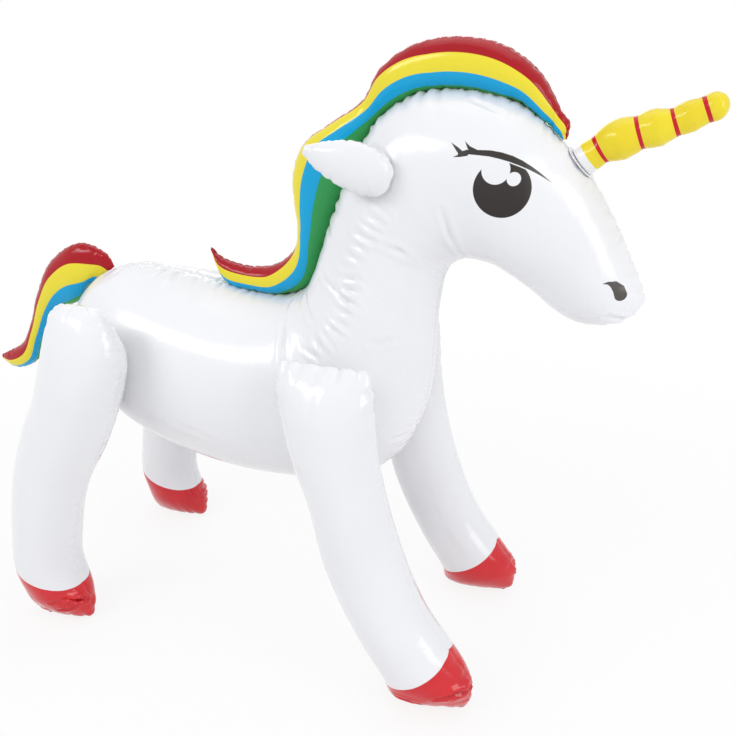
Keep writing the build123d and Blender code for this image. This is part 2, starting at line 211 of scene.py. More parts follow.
class Pouch:
    """A pouch's film as a closed grid: rows run along it, columns round it.

    Column 0 is the first seam, column half the last one; between them is the panel on the seam
    plane's normal side, and after them the other one.
    """

    def __init__(self, seam, ribs, row_step, column_step):
        first = np.array([r[0] for r in ribs], float)
        last = np.array([r[1] for r in ribs], float)
        bulge = np.array([r[2:] for r in ribs], float)
        columns = np.hstack([first, last, bulge])
        swell = np.abs(np.diff(bulge[:, 0])) * BULGE_SHARE
        middle = (first + last) / 2
        spread = (step_lengths(first) + step_lengths(last) + swell + step_lengths(middle)) / 3
        knots = running_length(spread)
        rows = max(int(knots[-1] / row_step), FEWEST_ROWS)
        self.along = np.linspace(0, knots[-1], rows + 1)
        flat = catmull_columns(knots, columns[:, :4], self.along)
        bulges = smooth_columns(knots, columns[:, 4:], self.along)
        bulges[0] = bulges[-1] = END_BULGE
        centre = (flat[:, :2] + flat[:, 2:]) / 2
        across = (flat[:, :2] - flat[:, 2:]) / 2
        half_round = (np.linalg.norm(across, axis=1).max() + bulges.max()) * HALF_ROUND
        self.half = max(int(half_round / column_step), FEWEST_COLUMNS)
        self.turn = np.arange(2 * self.half) * pi / self.half
        plane = centre[:, None] + across[:, None] * np.cos(self.turn)[None, :, None]
        off = np.where(np.sin(self.turn) >= 0, bulges[:, :1], bulges[:, 1:]) * np.sin(self.turn)
        self.rest = seam.at(plane[..., 0], plane[..., 1], off)
        self.points = self.rest.copy()

    def along_rows(self, shares, values):
        """A value for each row, from values at shares of the pouch's rows."""
        rows = len(self.along)
        return np.interp(np.arange(rows) / (rows - 1), shares, values)

    def normals(self):
        """The film's unit normals, outward."""
        p = self.points
        du = np.gradient(p, axis=0)
        dv = np.roll(p, -1, 1) - np.roll(p, 1, 1)
        n = np.cross(du, dv)
        n /= np.linalg.norm(n, axis=2, keepdims=True) + 1e-9
        outward = p - p.mean(1, keepdims=True)
        return n * np.sign(np.median((n * outward).sum(2)))

    def seam_distance(self):
        """How far round the film each point is from the nearer seam and from the first, in mm."""
        p = self.rest
        step = np.linalg.norm(np.roll(p, -1, 1) - p, axis=2)
        n = p.shape[1]
        from_first = np.concatenate([np.zeros((len(p), 1)), np.cumsum(step, axis=1)], axis=1)
        total = from_first[:, -1:]
        to_half = from_first[:, self.half:self.half + 1]
        d = from_first[:, :n]
        return np.minimum(np.minimum(d, total - d), np.abs(d - to_half)), d

    def wrinkle(self, slack, iterations, cap):
        """Film that is longer than its seams along the rows buckles under pressure.

        slack is how much longer, as a share, at each point; cap is how far a point may move, in mm.
        The seams and the end rows stay where they are.
        """
        p = self.points
        p += self.normals() * (rng.standard_normal(p.shape[:2]) * SHAKE)[..., None]
        rest = self.rest
        along = np.linalg.norm(np.diff(rest, axis=0), axis=2) * (1 + (slack[1:] + slack[:-1]) / 2)
        round_ = np.linalg.norm(np.roll(rest, -1, 1) - rest, axis=2) * ROUND_STRETCH
        past = np.linalg.norm(rest[2:] - rest[:-2], axis=2) * (1 + slack[1:-1] * PAST_SHARE)
        aslant = [(shift, np.linalg.norm(np.roll(rest, shift, 1)[1:] - rest[:-1], axis=2)
                   * (1 + slack[:-1] * SLANT_SHARE)) for shift in (-1, 1)]
        free = np.ones(p.shape[:2])
        free[:, 0] = free[:, self.half] = 0
        free[0] = free[-1] = 0
        w = free[..., None]

        def pull(a, b, length, wa, wb, k):
            d = b - a
            now = np.sqrt((d * d).sum(-1)) + 1e-9
            move = d * (k * (now - length) / now / 2)[..., None]
            return move * wa, -move * wb

        for _ in range(iterations):
            p += self.normals() * PUSH * w
            for start in (0, 1):
                a, b = p[start:-1:2], p[start + 1::2]
                n = min(len(a), len(b))
                wa, wb = w[start:-1:2][:n], w[start + 1::2][:n]
                ma, mb = pull(a[:n], b[:n], along[start::2][:n], wa, wb, 1.0)
                a[:n] += ma
                b[:n] += mb
            ma, mb = pull(p, np.roll(p, -1, 1), round_, w, np.roll(w, -1, 1), ROUND_PULL)
            p += ma
            p += np.roll(mb, 1, 1)
            ma, mb = pull(p[:-2], p[2:], past, w[:-2], w[2:], PAST_PULL)
            move = np.zeros_like(p)
            move[:-2] += ma
            move[2:] += mb
            for shift, length in aslant:
                q = np.roll(p, shift, 1)
                ma, mb = pull(p[:-1], q[1:], length, w[:-1], np.roll(w, shift, 1)[1:], SLANT_PULL)
                move[:-1] += ma
                back = np.zeros_like(p)
                back[1:] += mb
                move += np.roll(back, -shift, 1)
            p += move
            off = p - rest
            size = np.sqrt((off * off).sum(-1, keepdims=True)) + 1e-9
            p -= off * HOLD
            p += off * (np.minimum(size, cap) / size - 1)

    def sink_seams(self, depth, width):
        """Draw the film in along its seams, where the panels meet."""
        d, _ = self.seam_distance()
        self.points -= self.normals() * (depth * np.exp(-(d / width) ** 2))[..., None]

    def pucker(self, column, pitch, depth, reach, share=1.0, gather=0.45):
        """Short valleys that run in from the seam at a column, at an uneven pitch, on both panels.

        share is how strong they are at each row; gather is how far the seam itself is drawn in.
        Each one's depth, reach, slant and width vary; a pair on the two panels shares some depth.
        """
        length = running_length(step_lengths(self.rest[:, column]))
        _, from_first = self.seam_distance()
        total = np.linalg.norm(np.roll(self.rest, -1, 1) - self.rest, axis=2).sum(1)[:, None]
        if column == 0:
            d = np.minimum(from_first, total - from_first)
        else:
            d = np.abs(from_first - from_first[:, column:column + 1])
        share = np.broadcast_to(share, length.shape)
        first_side = (np.arange(2 * self.half) <= self.half)[None]
        most_slant = 0.4
        field = np.zeros(self.points.shape[:2])
        at = pitch
        while at < length[-1] - pitch / 2:
            strength = np.interp(at, length, share)
            common = rng.random()
            for side in (first_side, ~first_side):
                deep = depth * strength * (0.35 + 0.65 * common + 0.25 * rng.standard_normal())
                far = reach * (0.45 + 0.9 * rng.random()) * (0.5 + 0.5 * strength)
                slant = rng.uniform(-most_slant, most_slant)
                width = pitch * rng.uniform(0.16, 0.26)
                rows = np.flatnonzero(np.abs(length - at) < 4 * pitch + most_slant * 3 * reach)
                if deep <= 0.02 or not len(rows):
                    continue
                gap = length[rows, None] - at - slant * d[rows]
                spread = width * (1 + 0.8 * d[rows] / reach)
                ridges = np.exp(-((np.abs(gap) - 2.1 * spread) / spread) ** 2)
                valley = np.exp(-(gap / spread) ** 2) - 0.3 * ridges
                drawn_in = 1 - (1 - gather) * np.exp(-(d[rows] / 2.5) ** 2)
                fall = np.exp(-(d[rows] / far) ** 2) * drawn_in
                field[rows] += deep * valley * fall * side
            at += pitch * rng.uniform(0.55, 1.5)
        self.points -= self.normals() * field[..., None]

    def pleat_end(self, end, count, depth, reach, scallop):
        """Lengthwise pleats that run in from a pouch's flat end seam, which they scallop.

        end is 0 for the first end and 1 for the last; scallop is how deep the notches are, in mm.
        """
        rest = self.rest if end == 0 else self.rest[::-1]
        t = running_length(step_lengths(rest[:, 0]))
        t = (t if end == 0 else t[::-1])[:, None]
        inward = (rest[5] - rest[0]).mean(0)
        inward /= np.linalg.norm(inward)
        across = np.cos(self.turn)[None]
        inner = (np.arange(2 * self.half) > self.half)[None]
        field = np.zeros(self.points.shape[:2])
        places = np.linspace(-0.82, 0.82, count) + rng.uniform(-0.09, 0.09, count)
        for place in places:
            lean = rng.uniform(-0.004, 0.004) + 0.12 * place / reach
            width = rng.uniform(0.035, 0.06)
            deep = depth * rng.uniform(0.5, 1.2)
            far = reach * rng.uniform(0.5, 1.2)
            gap = across - place + lean * t
            valley = np.exp(-(gap / (width * (1 + t / reach))) ** 2)
            field += deep * valley * np.exp(-(t / far) ** 1.6) * np.where(inner, 0.6, 1)
            notch = scallop * np.exp(-(np.abs(across - place) / 0.05)) * np.exp(-(t / 9) ** 2)
            self.points += inward * notch[..., None]
        self.points -= self.normals() * (field * (1 - 0.8 * np.exp(-(t / 3) ** 2)))[..., None]

    def crease(self, route, width, depth, lip=0.35):
        """A sharp valley along a route of row-frame points, with a low ridge beside it."""
        near = np.full(self.points.shape[:2], 1e9)
        route = np.array(route, float)
        for a, b in zip(route[:-1], route[1:]):
            ab = b - a
            t = np.clip(((self.points - a) @ ab) / (ab @ ab), 0, 1)
            gap = np.linalg.norm(self.points - (a + t[..., None] * ab), axis=-1)
            near = np.minimum(near, gap)
        valley = np.exp(-(near / width) ** 2) - lip * np.exp(-((near - 2.2 * width) / (1.3 * width)) ** 2)
        ends = np.minimum(*(np.linalg.norm(self.points - end, axis=-1) for end in (route[0], route[-1])))
        fade = np.clip(ends / (3 * width), 0.15, 1)
        self.points -= self.normals() * (depth * valley * fade)[..., None]

    def stand(self):
        """Keep the film from going below the floor."""
        self.points[..., 2] = np.maximum(self.points[..., 2], 0)

    def close_ends(self):
        """Bring the two films of each end row together, point by point."""
        facing = -np.arange(2 * self.half) % (2 * self.half)
        for row in (0, -1):
            self.points[row] = (self.points[row] + self.points[row][facing]) / 2

    def panel(self, name, side, mirror=False, paint=None):
        """One film of the pouch as a mesh object: side 1 is on the seam plane's normal side.

        paint is a value for each point of a panel, or of the whole grid, for the material to read.
        """
        n = 2 * self.half
        if side == 1:
            picked = list(range(0, self.half + 1))
        else:
            picked = [0] + list(range(n - 1, self.half - 1, -1))
        grid = self.points[:, picked] * MM
        if not np.isfinite(grid).all():
            raise ValueError(f"{name} has lost points")
        if mirror:
            grid = grid * np.array((1, -1, 1))
        rows, columns = grid.shape[:2]
        index = np.arange(rows * columns).reshape(rows, columns)
        corners = index[:-1, :-1], index[1:, :-1], index[1:, 1:], index[:-1, 1:]
        quads = np.stack(corners, -1).reshape(-1, 4)
        points = grid.reshape(-1, 3)
        a, b, c = (points[quads[:, corner]] for corner in (0, 1, 3))
        facing = np.cross(b - a, c - a)
        centre_line = (grid[:-1, :1] + grid[:-1, -1:]) / 2
        outward = a - np.repeat(centre_line[:, 0], columns - 1, axis=0)
        if (facing * outward).sum() < 0:
            quads = quads[:, ::-1]
        mesh = bpy.data.meshes.new(name)
        mesh.from_pydata(points, [], quads.tolist())
        uv = mesh.uv_layers.new(name="film")
        if paint is None:
            paint = np.linspace(0, 1, columns)[None]
        paint = paint[:, picked] if paint.shape[1] == n else paint
        length = np.broadcast_to(self.along[:, None] / self.along[-1], (rows, columns))
        table = np.stack([length, np.broadcast_to(paint, (rows, columns))], -1).reshape(-1, 2)
        loops = np.empty(len(mesh.loops), np.int32)
        mesh.loops.foreach_get("vertex_index", loops)
        uv.data.foreach_set("uv", table[loops].astype(np.float32).ravel())
        mesh.polygons.foreach_set("use_smooth", np.ones(len(mesh.polygons), bool))
        obj = bpy.data.objects.new(name, mesh)
        bpy.context.scene.collection.objects.link(obj)
        return obj


def place(obj, node, body, material, slot):
    """A film panel stands for its CAD node and rides with its body."""
    obj.data.materials.append(material)
    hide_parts(node)
    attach(obj, body)


# ------------------------------------------------------------------ materials
class Paint:
    """A material of shader nodes, with short calls for the sums it needs."""

    def __init__(self, name):
        self.material = bpy.data.materials.new(name)
        self.material.use_nodes = True
        self.tree = self.material.node_tree
        self.shader = self.tree.nodes["Principled BSDF"]

    def feed(self, socket, value):
        if hasattr(value, "links"):
            self.tree.links.new(value, socket)
        else:
            socket.default_value = value

    def add(self, kind, values=(), out=0, **settings):
        node = self.tree.nodes.new(kind)
        for key, value in settings.items():
            setattr(node, key, value)
        for key, value in (values.items() if isinstance(values, dict) else enumerate(values)):
            self.feed(node.inputs[key], value)
        return node.outputs[out]

    def math(self, operation, *values, clamp=False):
        return self.add("ShaderNodeMath", values, operation=operation, use_clamp=clamp)

    def vector(self, operation, *values, out=0):
        return self.add("ShaderNodeVectorMath", values, out=out, operation=operation)

    def ramp(self, value, start, end, low=0.0, high=1.0, kind="LINEAR"):
        """low up to the start and high from the end on; kind is how it changes between them."""
        return self.add("ShaderNodeMapRange", (value, start, end, low, high), interpolation_type=kind)

    def step(self, value, edge, soft):
        """0 below the edge and 1 above it, softened over a width."""
        return self.ramp(value, edge - soft, edge + soft, kind="SMOOTHSTEP")

    def largest(self, first, *others):
        """The largest of some values."""
        for other in others:
            first = self.math("MAXIMUM", first, other)
        return first

    def mix(self, factor, first, second):
        values = {0: factor, 6: first, 7: second}
        return self.add("ShaderNodeMix", values, out=2, data_type="RGBA")

    def noise(self, where, scale, detail=2.0, stretch=(1, 1, 1)):
        placed = self.add("ShaderNodeMapping", {0: where, 3: stretch})
        return self.add("ShaderNodeTexNoise", {"Vector": placed, "Scale": scale, "Detail": detail})

    def coordinates(self):
        """The row frame's coordinates at rest, in metres."""
        return self.add("ShaderNodeTexCoord", out=3)

    def film_uv(self):
        """The length along the pouch and the paint value that the mesh carries."""
        uv = self.add("ShaderNodeUVMap", uv_map="film")
        parts = self.tree.nodes.new("ShaderNodeSeparateXYZ")
        self.feed(parts.inputs[0], uv)
        return parts.outputs[0], parts.outputs[1]


# Colours, as linear red, green, blue and alpha.
WHITE = (0.83, 0.832, 0.85, 1)
DULL_WHITE = (0.80, 0.81, 0.835, 1)
RED = (0.56, 0.006, 0.018, 1)
DARK_RED = (0.34, 0.002, 0.009, 1)
STRIPE_RED = (0.44, 0.001, 0.008, 1)
HOOF_RED = (0.72, 0.018, 0.022, 1)
YELLOW = (0.82, 0.70, 0.04, 1)
HORN_YELLOW = (0.84, 0.72, 0.03, 1)
DEEP_YELLOW = (0.80, 0.60, 0.02, 1)
BLUE = (0.001, 0.37, 0.69, 1)
GREEN = (0.032, 0.33, 0.085, 1)
INK = (0.010, 0.006, 0.005, 1)
FADED_INK = (0.12, 0.11, 0.10, 1)
# lighter ink, for the print's grain and for a painted sheen at the top of the eye
SHEEN_AND_GRAIN_INK = (0.040, 0.030, 0.026, 1)
NOSTRIL_INK = (0.040, 0.033, 0.030, 1)
WORN_INK = (0.10, 0.088, 0.08, 1)
CLEAR = (0.78, 0.82, 0.86, 1)
CLEAR_PALE = (0.86, 0.88, 0.90, 1)
PAPER = (0.86, 0.86, 0.865, 1)
PALE_PAPER = (0.88, 0.88, 0.885, 1)


def glossy_film(paint, colour, print_mask=None, bump=1.0, roughness=(0.16, 0.23), specular=0.5):
    """Welded PVC sheet: a gloss that varies a little, faint cloudiness and fine crinkles."""
    where = paint.coordinates()
    cloud = paint.noise(where, 9, 3)
    tint = paint.ramp(cloud, 0.3, 0.7, 0.965, 1.0)
    shaded = paint.add("ShaderNodeHueSaturation", {"Color": colour, "Value": tint})
    paint.feed(paint.shader.inputs["Base Color"], shaded)
    patches = paint.noise(where, 12, 2)
    gloss = paint.ramp(patches, 0.3, 0.7, *roughness)
    if print_mask is not None:
        gloss = paint.math("MULTIPLY_ADD", print_mask, 0.10, gloss)
    paint.feed(paint.shader.inputs["Roughness"], gloss)
    wide = paint.noise(where, 22, 1, (1, 1.5, 0.7))
    fine = paint.noise(where, 260, 2)
    height = paint.math("MULTIPLY_ADD", fine, 0.05, wide)
    values = {"Height": height, "Strength": 0.16 * bump, "Distance": 0.0016}
    paint.feed(paint.shader.inputs["Normal"], paint.add("ShaderNodeBump", values))
    paint.shader.inputs["IOR"].default_value = 1.45
    paint.shader.inputs["Specular IOR Level"].default_value = specular
    paint.shader.inputs["Coat Weight"].default_value = 0.10
    paint.shader.inputs["Coat Roughness"].default_value = 0.06


# Strokes of the printed face, in the middle plane's millimetres: x, z and half width, point by point.
LID = [
    [(210.6, 569.7, 2), (217.5, 571.7, 2), (226.5, 571.4, 2.2), (237, 570.9, 2.6), (246.3, 569.2, 2.8),
     (255.7, 566.6, 2.7), (263.9, 563.2, 2.3), (272.2, 558.9, 1.6), (280.7, 553.6, 0.9),
     (291, 546.4, 0.05)],
    [(201.4, 579, 0.1), (207.2, 574.2, 1.5), (211.8, 570, 2.3)],
    [(213.9, 580.3, 0.1), (218, 575.3, 1.4), (224.2, 571.8, 2.3)],
    [(204.6, 567, 0.1), (210.6, 568.4, 1.3), (216.4, 570, 1.8)],
]
NOSTRIL = [[(343.6, 458.1, 0.1), (348.4, 458.6, 1.4), (353.5, 456.5, 3.5),
            (357.7, 451.6, 4.9), (359.7, 446.4, 5.3)]]

# The rest of the print, in the same millimetres.
IRIS, IRIS_RADIUS = (250, 0, 540.5), 25.3
HIGHLIGHTS = [((243.6, 0, 557), 12.4), ((259.7, 0, 549.7), 6.0)]
LID_GAP = 0.9  # white left between the lid and the iris
PRINT_SOFT = 0.25  # half the width over which a printed edge softens
FADE_AT, FADE_SOFT = 281, 14  # where the lid's ink fades, forward of the eye
SHEEN_AND_GRAIN_LOW, SHEEN_AND_GRAIN_HIGH = 515, 570  # heights between which the ink grows grainy and is painted lighter, a painted sheen towards the top

# Where the print's edges lie in the paint value that a mesh carries: a leg's is 0.5 at its hoof's
# edge, the mane's and the tail's goes from rim to foot, and the horn's is in cm from a band.
HOOF_EDGE, HOOF_SOFT, HOOF_RAGGED = 0.503, 0.0016, 0.006
STRIPES = [(0.37, YELLOW), (0.60, BLUE), (0.81, GREEN)]
STRIPE_SOFT = 0.004
BAND_HALF, BAND_SOFT = 0.19, 0.02
HORN_ROOT, ROOT_SOFT = 0.060, 0.002  # share of the horn's length that is left white


def strokes(paint, point, lines):
    """Distance in mm from tapering strokes, less than nothing inside them."""
    nearest = None
    for line in lines:
        for (ax, az, wa), (bx, bz, wb) in zip(line[:-1], line[1:]):
            run = np.array((bx - ax, 0, bz - az))
            from_a = paint.vector("SUBTRACT", point, (ax, 0, az))
            share = paint.vector("DOT_PRODUCT", from_a, tuple(run / (run @ run)), out=1)
            t = paint.math("MULTIPLY", share, 1, clamp=True)
            foot = paint.add("ShaderNodeVectorMath", {0: tuple(run), 3: t}, operation="SCALE")
            gap = paint.vector("DISTANCE", from_a, foot, out=1)
            gap = paint.math("ADD", gap, paint.math("MULTIPLY_ADD", t, wa - wb, -wa))
            nearest = gap if nearest is None else paint.math("MINIMUM", nearest, gap)
    return nearest


def body_material():
    paint = Paint("white_film_printed")
    point = paint.vector("MULTIPLY", paint.coordinates(), (1000, 0, 1000))
    eye = paint.math("SUBTRACT", paint.vector("DISTANCE", point, IRIS, out=1), IRIS_RADIUS)
    for centre, radius in HIGHLIGHTS:
        spot = paint.math("SUBTRACT", radius, paint.vector("DISTANCE", point, centre, out=1))
        eye = paint.largest(eye, spot)
    lid = strokes(paint, point, LID)
    eye = paint.largest(eye, paint.math("SUBTRACT", LID_GAP, lid))
    face = paint.math("MINIMUM", eye, lid)
    face_mask = paint.math("SUBTRACT", 1, paint.step(face, 0, PRINT_SOFT))
    nostril = strokes(paint, point, NOSTRIL)
    nostril_mask = paint.math("SUBTRACT", 1, paint.step(nostril, 0, PRINT_SOFT))
    along = paint.add("ShaderNodeSeparateXYZ", (point,))
    height = paint.add("ShaderNodeSeparateXYZ", (point,), out=2)
    ink = paint.mix(paint.step(along, FADE_AT, FADE_SOFT), INK, FADED_INK)
    # Painted sheen: the ink is mixed lighter towards the top of the eye, together with the print's grain.
    sheen_rise = paint.ramp(height, SHEEN_AND_GRAIN_LOW, SHEEN_AND_GRAIN_HIGH)
    grain = paint.noise(paint.coordinates(), 900, 1, (0.3, 1, 1.6))
    ink = paint.mix(paint.math("MULTIPLY", sheen_rise, grain), ink, SHEEN_AND_GRAIN_INK)
    colour = paint.mix(face_mask, WHITE, ink)
    colour = paint.mix(nostril_mask, colour, paint.mix(grain, NOSTRIL_INK, WORN_INK))
    glossy_film(paint, colour, paint.largest(face_mask, nostril_mask))
    return paint.material


def leg_material():
    paint = Paint("white_film_hoofed")
    _, hoof = paint.film_uv()
    ragged = paint.noise(paint.coordinates(), 60, 2)
    edge = paint.math("MULTIPLY_ADD", ragged, HOOF_RAGGED, hoof)
    mask = paint.step(edge, HOOF_EDGE, HOOF_SOFT)
    cloudy = paint.noise(paint.coordinates(), 34, 3)
    red = paint.mix(cloudy, HOOF_RED, RED)
    glossy_film(paint, paint.mix(mask, WHITE, red), roughness=(0.12, 0.18))
    return paint.material


def striped_material():
    """Stripes from the pouch's rim to its foot: red, yellow, blue and green."""
    paint = Paint("striped_film")
    _, across = paint.film_uv()
    cloudy = paint.noise(paint.coordinates(), 30, 3)
    colour = paint.mix(cloudy, STRIPE_RED, DARK_RED)
    for edge, stripe in STRIPES:
        colour = paint.mix(paint.step(across, edge, STRIPE_SOFT), colour, stripe)
    glossy_film(paint, colour, bump=0.8, roughness=(0.12, 0.22), specular=0.28)
    return paint.material


def horn_material():
    paint = Paint("yellow_film_banded")
    along, band = paint.film_uv()
    mask = paint.math("SUBTRACT", 1, paint.step(band, BAND_HALF, BAND_SOFT))
    cloudy = paint.noise(paint.coordinates(), 45, 3)
    banded = paint.mix(mask, paint.mix(cloudy, HORN_YELLOW, DEEP_YELLOW), RED)
    colour = paint.mix(paint.step(along, HORN_ROOT, ROOT_SOFT), WHITE, banded)
    glossy_film(paint, colour, bump=1.2, specular=0.3)
    return paint.material


def plain_material():
    paint = Paint("white_film_plain")
    glossy_film(paint, paint.mix(paint.noise(paint.coordinates(), 14), DULL_WHITE, WHITE))
    return paint.material


def vinyl_material():
    """Clear moulded vinyl of the valve, with flow marks."""
    paint = Paint("clear_vinyl")
    flow = paint.noise(paint.coordinates(), 190, 3, (1, 1, 3))
    paint.feed(paint.shader.inputs["Base Color"], paint.mix(flow, CLEAR, CLEAR_PALE))
    paint.feed(paint.shader.inputs["Roughness"], paint.ramp(flow, 0, 1, 0.10, 0.26))
    bumps = paint.add("ShaderNodeBump", {"Height": flow, "Strength": 0.25, "Distance": 0.0004})
    paint.feed(paint.shader.inputs["Normal"], bumps)
    paint.shader.inputs["Transmission Weight"].default_value = 0.45
    paint.shader.inputs["IOR"].default_value = 1.52
    return paint.material


# ------------------------------------------------------------------ pouches
BEND_SPAN = 14  # over how many mm a seam's curve is measured
BEND_ROWS = 9  # over how many rows it is then averaged
MOST_BEND = 0.012  # the curve, in 1 per mm, that has the full effect


def convexity(pouch, column):
    """How strongly a seam curves outward along each row, in 1 per mm."""
    line = pouch.rest[:, column]
    row_step = pouch.along[1] - pouch.along[0]
    step = max(int(BEND_SPAN / row_step), 1)
    ahead = np.roll(line, -step, 0) - line
    behind = line - np.roll(line, step, 0)
    bend = (ahead - behind) / step**2 / row_step**2
    outward = line - pouch.rest[:, (column + pouch.half) % (2 * pouch.half)]
    outward /= np.linalg.norm(outward, axis=1, keepdims=True) + 1e-9
    out = -(bend * outward).sum(1)
    out[:step] = out[-step:] = 0
    return np.convolve(out, np.ones(BEND_ROWS) / BEND_ROWS, "same")


def seam_slack(pouch, base, curved, reach):
    """Share by which the film is longer than its seams: most beside seams that bow outward."""
    d, _ = pouch.seam_distance()
    n = 2 * pouch.half
    columns = np.arange(n)
    near_first = (columns < pouch.half / 2) | (columns > n - pouch.half / 2)
    bow_first = np.clip(convexity(pouch, 0), 0, MOST_BEND)
    bow_last = np.clip(convexity(pouch, pouch.half), 0, MOST_BEND)
    bow = np.where(near_first[None], bow_first[:, None], bow_last[:, None])
    return (base + curved * bow / MOST_BEND) * np.exp(-(d / reach) ** 1.5)


# Each pouch's seam plane and outline, and its grid's steps along and round it, in mm.
body = Pouch(MIDDLE, BODY, 1.3, 4.2)
mane = Pouch(MIDDLE, MANE, 1.2, 2.6)
tail = Pouch(MIDDLE, TAIL, 1.3, 2.6)
horn = Pouch(MIDDLE, HORN, 0.9, 2.4)
ears = {side: Pouch(EAR_SEAM, EAR, 1.1, 2.2) for side in ("right", "left")}
fore = {side: Pouch(FORE_SEAM, FORE_LEG, 1.9, 3.2) for side in ("right", "left")}
hind = {side: Pouch(HIND_SEAM, ribs, 1.9, 3.2)
        for side, ribs in (("right", HIND_LEG), ("left", slumped(HIND_LEG)))}
both_ears = tuple(ears.values())
four_legs = (*fore.values(), *hind.values())

# How each film buckles: its slack all along, where a seam bows and how far that reaches in mm; the
# steps of the relaxation; and how far a point may move, in mm.
WRINKLES = [
    ((body,), (0.018, 0.07, 20), 60, 2.2), ((mane, tail), (0.03, 0.05, 8), 60, 1.8),
    ((horn,), (0.012, 0.0, 6), 40, 0.8), (both_ears, (0.03, 0.04, 8), 60, 1.6),
    (four_legs, (0.022, 0.06, 14), 60, 2.2),
]
for pouches, slack, steps, cap in WRINKLES:
    for pouch in pouches:
        pouch.wrinkle(seam_slack(pouch, *slack), steps, cap)

# How strong the puckers are along the body's upper seam and its lower one, by share of its rows.
crest = body.along_rows([0, 0.08, 0.22, 0.34, 0.42, 0.55, 0.62, 0.74, 0.80, 0.90, 0.96, 1],
                        [1, 1, 0.9, 0.5, 0.35, 0.5, 1, 1, 0.45, 0.35, 0.8, 1])
belly = body.along_rows([0, 0.10, 0.25, 0.40, 0.48, 0.56, 0.64, 0.74, 0.90, 0.96, 1],
                        [1, 0.8, 0.3, 0.9, 1, 0.4, 0.25, 0.3, 0.4, 0.9, 1])
# Each call says the seam's column, then the puckers' pitch, depth and reach in mm.
body.pucker(0, 11, 2.6, 28, crest)
body.pucker(body.half, 12, 2.0, 20, belly)
mane.pucker(0, 8, 1.3, 6)
mane.pucker(mane.half, 7, 1.5, 8, gather=0.1)
tail.pucker(0, 8, 1.1, 8)
tail.pucker(tail.half, 9, 1.0, 8)
for column in (0, horn.half):
    horn.pucker(column, 9, 0.5, 7, gather=0.2)
for ear in both_ears:
    for column in (0, ear.half):
        ear.pucker(column, 8, 1.3, 9)
# For the fore and the hind legs' top end seams: the number of pleats, and how deep they and their
# notches are, in mm.
for legs, count, deep, notch in ((fore, 5, 1.7, 2.4), (hind, 3, 1.2, 1.2)):
    for leg in legs.values():
        share = leg.along_rows([0, 0.12, 0.3, 0.8, 0.9, 1], [1, 1, 0.35, 0.4, 0.9, 1])
        for column in (0, leg.half):
            leg.pucker(column, 13, 1.6, 16, share)
        leg.pleat_end(0, count, deep, 30, notch)
        leg.pleat_end(1, 5, 3.0, 26, 0.0)
        leg.stand()

# Creases on the body, on the row's right side and, mirrored, on its left: route, width and depth.
CREASES = [
    ([(20, -26, 405), (32, -69, 381), (39, -88, 349)], 2.6, 2.0),
    ([(45, -40, 417), (65, -68, 400)], 2.6, 1.4),
    ([(70, -51, 444), (95, -65, 429), (115, -67, 418)], 2.4, 1.3),
    ([(111, -57, 493), (154, -56, 476), (185, -12, 450)], 2.6, 1.5),
    ([(196, -59, 519), (202, -52, 495), (210, -28, 470)], 2.6, 1.5),
    ([(129, -69, 382), (150, -55, 386)], 2.4, 0.9),
    ([(145, -46, 269), (158, -20, 268)], 2.6, 1.2),
    ([(7, -95, 267), (57, -89, 259)], 2.6, 0.8),
    ([(-99, -96, 273), (-44, -93, 257)], 2.8, 0.8),
    ([(210, -27, 614), (239, -32, 605)], 2.2, 1.0),
]
DASHES = [  # the gathers round the shoulder, from the throat down to the top of the fore leg
    (143, -60, 512, 131, -58, 518), (137, -60, 502, 124, -58, 509), (133, -60, 492, 116, -57, 501),
    (128, -60, 484, 110, -58, 490), (121, -60, 475, 107, -58, 479), (118, -61, 464, 101, -58, 469),
    (116, -61, 457, 97, -59, 457), (113, -63, 446, 98, -61, 446), (115, -64, 435, 94, -63, 435),
    (111, -66, 424, 96, -66, 425), (111, -68, 413, 94, -69, 415), (107, -72, 400, 91, -71, 407),
    (102, -75, 390, 86, -74, 398), (94, -79, 378, 81, -75, 391), (85, -81, 370, 71, -76, 384),
    (81, -83, 365, 59, -78, 373), (72, -85, 357, 57, -82, 362),
]
for sign in (1, -1):
    for route, width, depth in CREASES:
        body.crease([(x, y * sign, z) for x, y, z in route], width, depth * rng.uniform(1.1, 1.5))
    for dash in DASHES:
        ends = np.array(dash, float).reshape(2, 3) * (1, sign, 1) + rng.uniform(-2, 2, (2, 3))
        body.crease(ends, rng.uniform(1.9, 2.8), rng.uniform(1.1, 2.1))


def on_side(pouch, route, sign):
    """Points of a route of x and z, put on the film of a middle pouch's right (1) or left side."""
    film = pouch.points[:, 1:pouch.half] if sign == 1 else pouch.points[:, pouch.half + 1:]
    film = film.reshape(-1, 3)
    return [film[np.argmin((film[:, 0] - x) ** 2 + (film[:, 2] - z) ** 2)] for x, z in route]


EAR_ROOT = (123, BARREL + 244)  # the middle of the ring that welds an ear on, as x and z
EAR_ROOT_LONG, EAR_ROOT_HIGH = 22, 23
MOUTH = [(367, 417), (360, 421), (350, 424)]
turns = np.linspace(-0.62 * pi, 0.62 * pi, 19)
ear_ring = [(EAR_ROOT[0] + EAR_ROOT_LONG * cos(t), EAR_ROOT[1] + EAR_ROOT_HIGH * sin(t)) for t in turns]
for sign in (1, -1):
    body.crease(on_side(body, ear_ring, sign), 1.5, 1.1)
    body.crease(on_side(body, MOUTH, sign), 2.6, 2.6)


